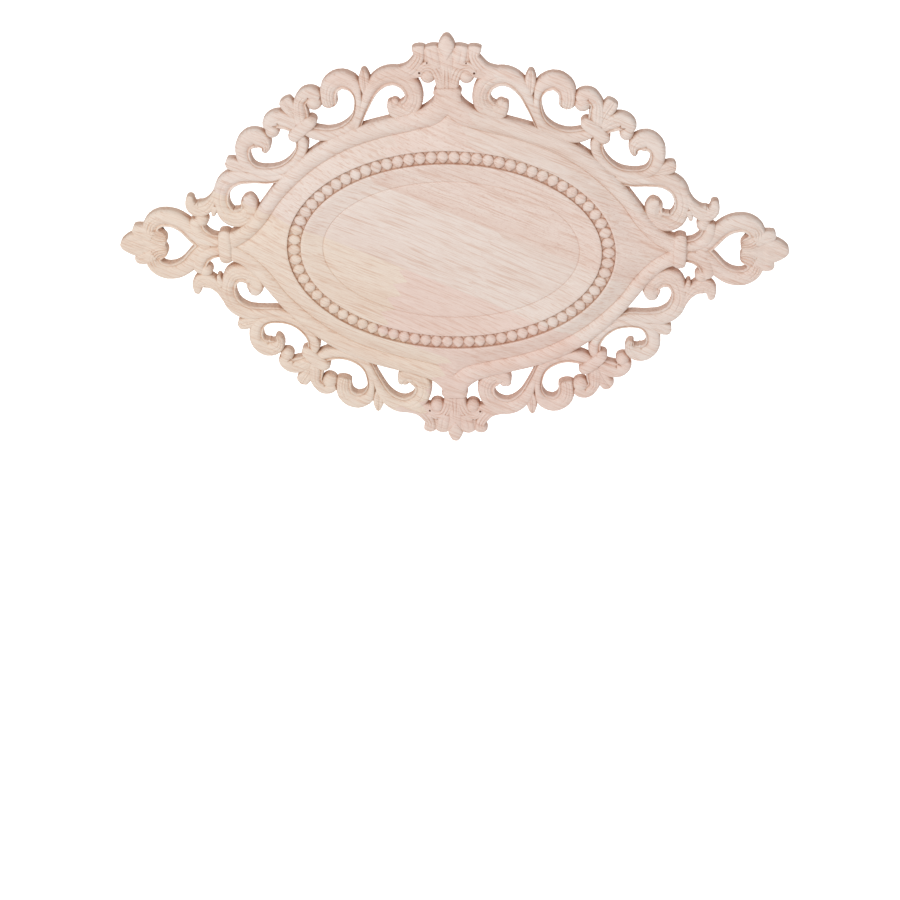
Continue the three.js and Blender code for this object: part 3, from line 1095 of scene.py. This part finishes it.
@dataclass
class Applique:
    """The whole carving, joined into one piece.

    Args:
        panel: the cartouche panel.
        beads: its beads.
        knobs: round ends of the curls.
        pits: drilled pits.
        carver: cuts the strokes.
        crease_angle: faces that meet more sharply than this keep a crease, in degrees.
    """

    panel: CartouchePanel
    beads: BeadString
    knobs: Knobs
    pits: DrillPits
    carver: StrokeCarver
    crease_angle: float = 38.0

    def _folder(self, name: str) -> bpy.types.Collection:
        """A new collection in the scene.

        Args:
            name: its name.

        Returns:
            The collection.
        """
        folder = bpy.data.collections.new(name)
        bpy.context.scene.collection.children.link(folder)
        return folder

    def _join(self, base: bpy.types.Object, kind: str, folder: bpy.types.Collection) -> None:
        """Adds a Boolean step with every solid of a folder.

        Args:
            base: the solid that the step works on.
            kind: UNION or DIFFERENCE.
            folder: the collection with the other solids.
        """
        step = base.modifiers.new(kind.lower(), "BOOLEAN")
        step.operation = kind
        step.solver = "MANIFOLD"
        step.operand_type = "COLLECTION"
        step.collection = folder

    def _saw(self, folder: bpy.types.Collection) -> None:
        """Makes the block that is sawn off behind the back's plane.

        Args:
            folder: the collection for the block.
        """
        bm = bmesh.new()
        bmesh.ops.create_cube(bm, size=1.0)
        bmesh.ops.scale(bm, verts=bm.verts, vec=(3 * HALF_LENGTH, 3 * HALF_LENGTH, 4 * SAW_ALLOWANCE * MM))
        bmesh.ops.translate(bm, verts=bm.verts, vec=(0, 0, -2 * SAW_ALLOWANCE * MM))
        new_object("sawn back", bm, folder)

    def quarter(self) -> bmesh.types.BMesh:
        """Joins the solids, cuts them back and keeps the quarter to the right of and above the middle.

        Returns:
            The quarter, open where its mirror images meet it.
        """
        parts, waste = self._folder("parts"), self._folder("waste")
        for stroke in (*SCROLLS, *LEAVES, *ACROSS_THE_MIDDLE):
            self.carver.carve(stroke, parts)
        self.knobs.turn(parts)
        self.beads.place(parts)
        self.pits.sink(waste)
        self._saw(waste)
        base = self.panel.carve(bpy.context.scene.collection)
        self._join(base, "UNION", parts)
        self._join(base, "DIFFERENCE", waste)
        bpy.context.view_layer.update()
        shape = base.evaluated_get(bpy.context.evaluated_depsgraph_get()).to_mesh()
        bm = bmesh.new()
        bm.from_mesh(shape)
        for folder in (parts, waste):
            for made in list(folder.objects):
                bpy.data.objects.remove(made)
            bpy.data.collections.remove(folder)
        bpy.data.objects.remove(base)
        for normal in ((1, 0, 0), (0, 1, 0)):
            bmesh.ops.bisect_plane(
                bm,
                geom=[*bm.verts, *bm.edges, *bm.faces],
                dist=ON_MIRROR,
                plane_co=MIDDLE,
                plane_no=normal,
                clear_inner=True,
            )
        return bm

    def build(self, finish: "GluedStaves") -> bpy.types.Object:
        """Mirrors the quarter, stands the carving up and gives it its finish.

        Args:
            finish: the wood.

        Returns:
            The piece, which rides on the part and replaces its solid.
        """
        bm = self.quarter()
        LOG.info("quarter: %d faces", len(bm.faces))
        for axis in ("X", "Y"):
            geometry = [*bm.verts, *bm.edges, *bm.faces]
            bmesh.ops.mirror(bm, geom=geometry, merge_dist=MIRROR_WELD, axis=axis)
            bmesh.ops.remove_doubles(bm, verts=bm.verts, dist=WELD)
        bmesh.ops.rotate(bm, verts=bm.verts, cent=MIDDLE, matrix=Matrix.Rotation(QUARTER_TURN, 3, "X"))
        bmesh.ops.recalc_face_normals(bm, faces=bm.faces)
        for face in bm.faces:
            face.smooth = any(abs(vert.co.y) > WELD for vert in face.verts)
        open_edges = sum(1 for edge in bm.edges if not edge.is_manifold)
        piece = new_object(PIECE_NAME, bm, bpy.context.scene.collection)
        piece.data.set_sharp_from_angle(angle=math.radians(self.crease_angle))
        piece.data.materials.append(finish.material())
        piece.data.calc_loop_triangles()
        triangles = len(piece.data.loop_triangles)
        LOG.info("%s: %d triangles, %d open edges", PIECE_NAME, triangles, open_edges)
        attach(piece, "root")
        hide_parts("carved_applique")
        return piece


class NodeSheet:
    """Short ways to wire a material's nodes."""

    def __init__(self, tree: bpy.types.NodeTree) -> None:
        """Starts on an empty tree.

        Args:
            tree: the material's node tree.
        """
        self.tree = tree
        tree.nodes.clear()

    def add(self, kind: str, **settings: object) -> bpy.types.Node:
        """A new node with its settings.

        Args:
            kind: the node's type.
            settings: its settings by name.

        Returns:
            The node.
        """
        node = self.tree.nodes.new(kind)
        for key, value in settings.items():
            setattr(node, key, value)
        return node

    def feed(self, value: object, socket: bpy.types.NodeSocket) -> None:
        """Wires a socket, or sets it when a plain value comes in.

        Args:
            value: an output socket or a plain value.
            socket: the input that it goes to.
        """
        if isinstance(value, bpy.types.NodeSocket):
            self.tree.links.new(value, socket)
        else:
            socket.default_value = value

    def wired(self, kind: str, values: Sequence[object], **settings: object) -> bpy.types.NodeSocket:
        """The first output of a new node whose first inputs are fed in order.

        Args:
            kind: the node's type.
            values: what goes to its inputs.
            settings: its settings by name.

        Returns:
            The output.
        """
        node = self.add(kind, **settings)
        for value, socket in zip(values, node.inputs):
            self.feed(value, socket)
        return node.outputs[0]

    def math(self, operation: str, *values: object) -> bpy.types.NodeSocket:
        """The result of a Math node."""
        return self.wired("ShaderNodeMath", values, operation=operation)

    def combine(self, x: object, y: object, z: object) -> bpy.types.NodeSocket:
        """A vector from three values."""
        return self.wired("ShaderNodeCombineXYZ", (x, y, z))

    def ramp(self, value: object, low: float, high: float) -> bpy.types.NodeSocket:
        """A smooth step from 0 at low to 1 at high."""
        return self.wired("ShaderNodeMapRange", (value, low, high), interpolation_type="SMOOTHSTEP")

    def mapped(self, vector: object, **inputs: object) -> bpy.types.NodeSocket:
        """A vector after a Mapping node.

        Args:
            vector: the vector.
            inputs: the node's other inputs by name.

        Returns:
            The mapped vector.
        """
        node = self.add("ShaderNodeMapping")
        self.feed(vector, node.inputs["Vector"])
        for name, value in inputs.items():
            node.inputs[name].default_value = value
        return node.outputs[0]

    def noise(self, vector: object, detail: float, roughness: float) -> bpy.types.NodeSocket:
        """A Noise texture's value.

        Args:
            vector: where it is looked up, in cells.
            detail: octaves.
            roughness: weight of the finer octaves.

        Returns:
            The value.
        """
        node = self.add("ShaderNodeTexNoise")
        settings = {"Vector": vector, "Scale": 1.0, "Detail": detail, "Roughness": roughness}
        for name, value in settings.items():
            self.feed(value, node.inputs[name])
        return node.outputs["Fac"]

    def mix(self, blend: str, amount: object, first: object, second: object) -> bpy.types.NodeSocket:
        """Two colours mixed.

        Args:
            blend: the way that they are mixed.
            amount: how much of the second goes in.
            first: the first colour.
            second: the second colour.

        Returns:
            The mixed colour.
        """
        node = self.add("ShaderNodeMix", data_type="RGBA", blend_type=blend, clamp_factor=True)
        for value, number in ((amount, 0), (first, 6), (second, 7)):
            self.feed(value, node.inputs[number])
        return node.outputs[2]

    def stain(self, colour: object, mask: object, strength: float, tint: Colour) -> bpy.types.NodeSocket:
        """A colour multiplied by a tint where a mask is on.

        Args:
            colour: the colour so far.
            mask: where the tint goes, from 0 to 1.
            strength: how much of the tint goes on there.
            tint: the tint.

        Returns:
            The stained colour.
        """
        return self.mix("MULTIPLY", self.math("MULTIPLY", mask, strength), colour, tint)


@dataclass(frozen=True)
class Stave:
    """One stave of the glued board, from its lower to its upper edge across the grain, in metres.

    Args:
        low: lower edge.
        joint: place of its finger joint along the grain.
        before: tone on the near side of the joint.
        after: tone past it.
        freckles: how freckled with cut pores it is before and past the joint.
    """

    low: float
    joint: float
    before: Colour
    after: Colour
    freckles: tuple[float, float] = (0.15, 0.15)


@dataclass(frozen=True)
class Streaks:
    """Noise stretched along the fibres, and the step that makes marks of it.

    Args:
        along: cells a metre along the grain.
        across: cells a metre across it.
        low: value at which marks start.
        high: value at which they are full.
        strength: how much of their tint goes on.
        detail: octaves of the noise.
        roughness: weight of the finer octaves.
    """

    along: float
    across: float
    low: float = 0.0
    high: float = 1.0
    strength: float = 1.0
    detail: float = 2.0
    roughness: float = 0.5

    # Share of the cells across the grain that there are through the board.
    THROUGH = 0.35

    def noise(self, sheet: NodeSheet, grain: object) -> bpy.types.NodeSocket:
        """The stretched noise at the grain's coordinates."""
        scale = (self.along, self.THROUGH * self.across, self.across)
        return sheet.noise(sheet.mapped(grain, Scale=scale), self.detail, self.roughness)

    def marks(self, sheet: NodeSheet, grain: object) -> bpy.types.NodeSocket:
        """Where the marks lie, from 0 to 1."""
        return sheet.ramp(self.noise(sheet, grain), self.low, self.high)


@dataclass(frozen=True)
class GluedStaves:
    """Bare, sanded hardwood glued from staves of slightly different tone.

    Args:
        grain_angle: direction of the grain in the plan, in degrees.
        pale: lightest stave tone.
        pink: pinkish stave tone.
        rosy: darker pink stave tone.
        straw: yellowish stave tone.
        band: tint of the broad bands.
        ring: tint of the late wood in the growth rings.
        vessel: tint of the long cut vessels.
        fibre: tint of the finest fibres.
        freckle: tint of pores cut across.
        gleam: tone of the light streaks.
        wall: tint of the cut walls, partly their darker sawn end grain and partly painted shade where they
            turn from the light.
        crease: painted shade at the bottom of the cuts, in the pits and in narrow hollows, where little light
            reaches.
        roughness: the surface's roughness.
        shine: its specular level.
        sway: the slow bending of the fibres.
        sway_reach: how far they bend, in metres.
        board_shift: shift of the grain through the board for each whole of the staves' numbers.
        finger: half the spacing of the joints' fingers, in metres.
        finger_slope: how far the zigzag runs along the grain for each metre across it.
        joint_blur: width of the change of tone at a joint.
        edge_blur: half width of the change of tone at a stave's edge.
        broad: the broad bands.
        wander: how the growth rings wander.
        wander_reach: how many rings they wander.
        rings: growth rings a metre.
        late_wood: share of a ring where its late wood comes in.
        late_end: share of a ring where it goes out, last first.
        ring_strength: how much of the rings' tint goes on.
        faint: where the rings fade.
        light: the light streaks.
        vessels: the long cut vessels.
        fibres: the finest fibres.
        pores: the pores cut across.
        nap: the fibres that stand up a little.
        nap_strength: strength of the bump.
        nap_height: its height in metres.
        steep: how far a face may look to the front and count as a wall, gentlest first.
        wall_grain_and_shade_strength: how much of the walls' tint goes on.
        hollow_reach: how far round a place the wood is looked at for hollows, in metres.
        hollow_samples: looks taken round a place.
        hollow: how open a place is where the crease tint starts and where it is full.
        crease_shade_strength: how much of the crease tint goes on.
    """

    grain_angle: float = -23.5
    pale: Colour = (0.83, 0.72, 0.655, 1.0)
    pink: Colour = (0.825, 0.685, 0.615, 1.0)
    rosy: Colour = (0.82, 0.655, 0.585, 1.0)
    straw: Colour = (0.83, 0.705, 0.60, 1.0)
    band: Colour = (0.95, 0.905, 0.88, 1.0)
    ring: Colour = (0.90, 0.80, 0.75, 1.0)
    vessel: Colour = (0.87, 0.74, 0.67, 1.0)
    fibre: Colour = (0.94, 0.89, 0.87, 1.0)
    freckle: Colour = (0.78, 0.63, 0.56, 1.0)
    gleam: Colour = (0.85, 0.76, 0.69, 1.0)
    # Partly the walls' darker end grain, partly painted shade on faces that turn from the light.
    wall: Colour = (0.84, 0.71, 0.64, 1.0)
    # Painted shade in the creases, pits and narrow hollows.
    crease: Colour = (0.83, 0.68, 0.56, 1.0)
    roughness: float = 0.72
    shine: float = 0.3
    sway: Streaks = Streaks(7.0, 14.0)
    sway_reach: float = 0.008
    board_shift: float = 0.6
    finger: float = 0.006
    finger_slope: float = 1.6
    joint_blur: float = 0.0006
    edge_blur: float = 0.0003
    broad: Streaks = Streaks(4.0, 42.0, 0.42, 0.72, 0.9, 3.0, 0.55)
    wander: Streaks = Streaks(3.5, 22.0)
    wander_reach: float = 7.0
    rings: float = 105.0
    late_wood: tuple[float, float] = (0.72, 0.95)
    late_end: tuple[float, float] = (1.0, 0.96)
    ring_strength: float = 0.5
    faint: Streaks = Streaks(9.0, 70.0, 0.4, 0.62)
    light: Streaks = Streaks(14.0, 160.0, 0.55, 0.75, 0.35, 2.0, 0.6)
    vessels: Streaks = Streaks(34.0, 1050.0, 0.5, 0.66, 0.75, 2.0, 0.6)
    fibres: Streaks = Streaks(110.0, 1500.0, 0.4, 0.66, 0.8, 3.0, 0.65)
    pores: Streaks = Streaks(500.0, 1200.0, 0.58, 0.68, 0.8, 1.0)
    nap: Streaks = Streaks(60.0, 900.0, detail=3.0, roughness=0.6)
    nap_strength: float = 0.25
    nap_height: float = 0.0006
    steep: tuple[float, float] = (0.25, 0.05)
    wall_grain_and_shade_strength: float = 0.8
    hollow_reach: float = 0.005
    hollow_samples: int = 4
    hollow: tuple[float, float] = (0.8, 0.28)
    crease_shade_strength: float = 0.9

    # Step between the numbers that tell the staves apart, and the further step past a stave's joint.
    STAVE_STEP = 0.1
    JOINT_STEP = 0.05

    def staves(self) -> tuple[Stave, ...]:
        """The board's staves.

        Returns:
            The staves, from the bottom up.
        """
        return (
            Stave(-0.30, 0.02, self.straw, self.pink),
            Stave(-0.135, 0.035, self.straw, self.rosy),
            Stave(-0.081, -0.019, self.straw, self.rosy),
            Stave(-0.027, 0.03, self.pale, self.pale),
            Stave(0.027, -0.064, self.pale, self.pink, (0.15, 0.4)),
            Stave(0.081, -0.02, self.pink, self.pale, (0.3, 0.15)),
            Stave(0.135, 0.05, self.pink, self.pale),
        )

    def material(self) -> bpy.types.Material:
        """Builds the wood's nodes on Object coordinates.

        Returns:
            The material.
        """
        wood = bpy.data.materials.new("glued_staves")
        wood.use_nodes = True
        sheet = NodeSheet(wood.node_tree)
        place = sheet.add("ShaderNodeTexCoord").outputs
        split = sheet.add("ShaderNodeSeparateXYZ")
        turn = (0.0, math.radians(self.grain_angle), 0.0)
        sheet.feed(sheet.mapped(place["Object"], Rotation=turn), split.inputs[0])
        along, depth, across = split.outputs
        tone, board, freckled = self._stave_tones(sheet, along, across)
        own_depth = sheet.math("MULTIPLY_ADD", board, self.board_shift, depth)
        sway = self.sway.noise(sheet, sheet.combine(along, own_depth, across))
        swayed = sheet.math("MULTIPLY_ADD", sheet.math("SUBTRACT", sway, 0.5), self.sway_reach, across)
        grain = sheet.combine(along, own_depth, swayed)
        colour = self._grain(sheet, grain, swayed, tone, freckled)
        # Paints shade on the walls and in the creases.
        colour = self._paint_walls_and_crease_shade(sheet, colour, place["Normal"])
        shader = sheet.add("ShaderNodeBsdfPrincipled")
        sheet.feed(colour, shader.inputs["Base Color"])
        shader.inputs["Roughness"].default_value = self.roughness
        shader.inputs["Specular IOR Level"].default_value = self.shine
        self._bump(sheet, grain, shader)
        output = sheet.add("ShaderNodeOutputMaterial")
        sheet.feed(shader.outputs[0], output.inputs[0])
        return wood

    def _stave_tones(self, sheet: NodeSheet, along: object, across: object) -> tuple[object, object, object]:
        """Tells the staves apart, each of which changes at its zigzag finger joint.

        Args:
            sheet: the material's nodes.
            along: the coordinate along the grain.
            across: the coordinate across it.

        Returns:
            The tone, the number and the freckles of the stave at a place.
        """
        fingers = sheet.math("PINGPONG", across, self.finger)
        zigzag = sheet.math("MULTIPLY_ADD", fingers, self.finger_slope, along)
        tone: object = self.pale
        marks: object = (0.0, 0.0, 0.0, 1.0)
        for number, stave in enumerate(self.staves()):
            past = sheet.ramp(zigzag, stave.joint, stave.joint + self.joint_blur)
            above = sheet.ramp(across, stave.low - self.edge_blur, stave.low + self.edge_blur)
            own = sheet.mix("MIX", past, stave.before, stave.after)
            tone = sheet.mix("MIX", above, tone, own)
            near = (self.STAVE_STEP * number, stave.freckles[0], 0.0, 1.0)
            far = (self.STAVE_STEP * number + self.JOINT_STEP, stave.freckles[1], 0.0, 1.0)
            marks = sheet.mix("MIX", above, marks, sheet.mix("MIX", past, near, far))
        split = sheet.add("ShaderNodeSeparateColor")
        sheet.feed(marks, split.inputs[0])
        return tone, split.outputs[0], split.outputs[1]

    def _grain(
        self, sheet: NodeSheet, grain: object, swayed: object, tone: object, freckled: object
    ) -> object:
        """Bands, growth rings, vessels, fibres, freckles and light streaks over the staves' tones.

        Args:
            sheet: the material's nodes.
            grain: coordinates along, through and across the grain.
            swayed: the coordinate across the grain alone.
            tone: the staves' tones.
            freckled: how freckled each stave is.

        Returns:
            The wood's colour before it was cut.
        """
        wander = self.wander.noise(sheet, grain)
        evenly = sheet.math("MULTIPLY", swayed, self.rings)
        turns = sheet.math("MULTIPLY_ADD", wander, self.wander_reach, evenly)
        ring = sheet.math("FRACT", turns)
        late = sheet.math("MULTIPLY", sheet.ramp(ring, *self.late_wood), sheet.ramp(ring, *self.late_end))
        late = sheet.math("MULTIPLY", late, self.faint.marks(sheet, grain))
        gleams = sheet.math("MULTIPLY", self.light.marks(sheet, grain), self.light.strength)
        pores = sheet.math("MULTIPLY", self.pores.marks(sheet, grain), freckled)
        colour = sheet.stain(tone, self.broad.marks(sheet, grain), self.broad.strength, self.band)
        colour = sheet.stain(colour, late, self.ring_strength, self.ring)
        colour = sheet.mix("MIX", gleams, colour, self.gleam)
        for streaks, tint in ((self.vessels, self.vessel), (self.fibres, self.fibre)):
            colour = sheet.stain(colour, streaks.marks(sheet, grain), streaks.strength, tint)
        return sheet.stain(colour, pores, self.pores.strength, self.freckle)

    def _paint_walls_and_crease_shade(self, sheet: NodeSheet, colour: object, normal: object) -> object:
        """Darkens the walls, partly for their end grain and partly as painted shade, and paints shade at the
        bottom of the cuts.

        Args:
            sheet: the material's nodes.
            colour: the wood's colour.
            normal: the surface's direction.

        Returns:
            The colour of the carved wood, with its painted shade.
        """
        split = sheet.add("ShaderNodeSeparateXYZ")
        sheet.feed(normal, split.inputs[0])
        steep = sheet.ramp(sheet.math("ABSOLUTE", split.outputs[1]), *self.steep)
        # Ambient occlusion finds the creases and pits, where shade is painted into the colour.
        hollow = sheet.add("ShaderNodeAmbientOcclusion", samples=self.hollow_samples, only_local=True)
        hollow.inputs["Distance"].default_value = self.hollow_reach
        crease_shade_mask = sheet.ramp(hollow.outputs["AO"], *self.hollow)
        # Walls get their end grain's darker tone together with painted shade.
        colour = sheet.stain(colour, steep, self.wall_grain_and_shade_strength, self.wall)
        return sheet.stain(colour, crease_shade_mask, self.crease_shade_strength, self.crease)

    def _bump(self, sheet: NodeSheet, grain: object, shader: bpy.types.Node) -> None:
        """Stands the sanded fibres up a little.

        Args:
            sheet: the material's nodes.
            grain: coordinates along, through and across the grain.
            shader: the wood's shader.
        """
        bump = sheet.add("ShaderNodeBump")
        bump.inputs["Strength"].default_value = self.nap_strength
        bump.inputs["Distance"].default_value = self.nap_height
        sheet.feed(self.nap.noise(sheet, grain), bump.inputs["Height"])
        sheet.feed(bump.outputs[0], shader.inputs["Normal"])


@dataclass(frozen=True)
class SoftLight:
    """A soft square light that faces a target.

    Args:
        name: its name.
        place: where it stands.
        target: what it faces.
        size: its side in metres.
        power: its power in watts.
    """

    name: str
    place: Place
    target: Place
    size: float
    power: float

    def shine(self) -> None:
        """Sets the light in the scene."""
        lamp = bpy.data.lights.new(self.name, "AREA")
        lamp.shape = "SQUARE"
        lamp.size = self.size
        lamp.energy = self.power
        made = bpy.data.objects.new(self.name, lamp)
        made.location = self.place
        facing = Vector(self.target) - Vector(self.place)
        made.rotation_euler = facing.to_track_quat("-Z", "Y").to_euler()
        bpy.context.scene.collection.objects.link(made)


@dataclass
class Studio:
    """A white studio: a pale floor far below the hung piece, soft light and the camera.

    Args:
        floor_drop: how far the floor lies below the piece's middle.
        floor_reach: how far the floor reaches from its middle.
        floor_tone: the floor's grey.
        floor_roughness: its roughness.
        glow: strength of the white surrounding.
        lights: the lights.
        camera_place: the camera's place.
        camera_target: the point of the back's plane that it looks at.
        camera_roll: its roll in degrees.
        lens: focal length in millimetres.
        sensor: width of the sensor in millimetres.
        clip: nearest and farthest distance that the camera shows.
    """

    floor_drop: float = 1.1
    floor_reach: float = 8.0
    floor_tone: float = 0.95
    floor_roughness: float = 0.9
    glow: float = 0.58
    lights: tuple[SoftLight, ...] = (
        SoftLight("key", (-0.7, -2.0, 1.2), (0.0, 0.0, 0.0), 1.4, 27.0),
        SoftLight("floor_wash", (0.0, 2.2, -0.45), (0.0, 2.2, -1.1), 4.0, 70.0),
    )
    camera_place: Place = (0.11875, -1.46716, 0.70601)
    camera_target: Place = (-0.00524, 0.0, -0.1724)
    camera_roll: float = -1.51
    lens: float = 90.57
    sensor: float = 36.0
    clip: tuple[float, float] = (0.05, 60.0)

    def build(self) -> None:
        """Sets the floor, the world, the lights and the camera."""
        self._floor()
        self._world()
        for light in self.lights:
            light.shine()
        self._camera()

    def _floor(self) -> None:
        """A wide pale floor."""
        bm = bmesh.new()
        bmesh.ops.create_grid(bm, x_segments=1, y_segments=1, size=self.floor_reach)
        bmesh.ops.translate(bm, verts=bm.verts, vec=(0, 0, -self.floor_drop))
        floor = new_object("floor", bm, bpy.context.scene.collection)
        paint = bpy.data.materials.new("floor_paint")
        paint.use_nodes = True
        shader = paint.node_tree.nodes["Principled BSDF"]
        shader.inputs["Base Color"].default_value = (*(self.floor_tone,) * 3, 1.0)
        shader.inputs["Roughness"].default_value = self.floor_roughness
        floor.data.materials.append(paint)

    def _world(self) -> None:
        """An even white surrounding."""
        world = bpy.data.worlds.new("studio")
        world.use_nodes = True
        back = world.node_tree.nodes["Background"]
        back.inputs["Color"].default_value = (1.0, 1.0, 1.0, 1.0)
        back.inputs["Strength"].default_value = self.glow
        bpy.context.scene.world = world

    def _camera(self) -> None:
        """The camera of the photograph's upper picture."""
        data = bpy.data.cameras.new("camera")
        data.sensor_width = self.sensor
        data.lens = self.lens
        data.clip_start, data.clip_end = self.clip
        camera = bpy.data.objects.new("camera", data)
        place, target = Vector(self.camera_place), Vector(self.camera_target)
        level = (target - place).to_track_quat("-Z", "Y")
        roll = Matrix.Rotation(math.radians(self.camera_roll), 4, "Z")
        camera.matrix_world = Matrix.Translation(place) @ level.to_matrix().to_4x4() @ roll
        bpy.context.scene.collection.objects.link(camera)
        bpy.context.scene.camera = camera


def main() -> None:
    """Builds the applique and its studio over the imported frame."""
    logging.basicConfig(level=logging.INFO, format="%(message)s")
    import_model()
    scene = bpy.context.scene
    scene.view_settings.view_transform = "Standard"
    applique = Applique(CartouchePanel(), BeadString(), Knobs(), DrillPits(), StrokeCarver())
    applique.build(GluedStaves())
    Studio().build()


if __name__ == "__main__":
    main()
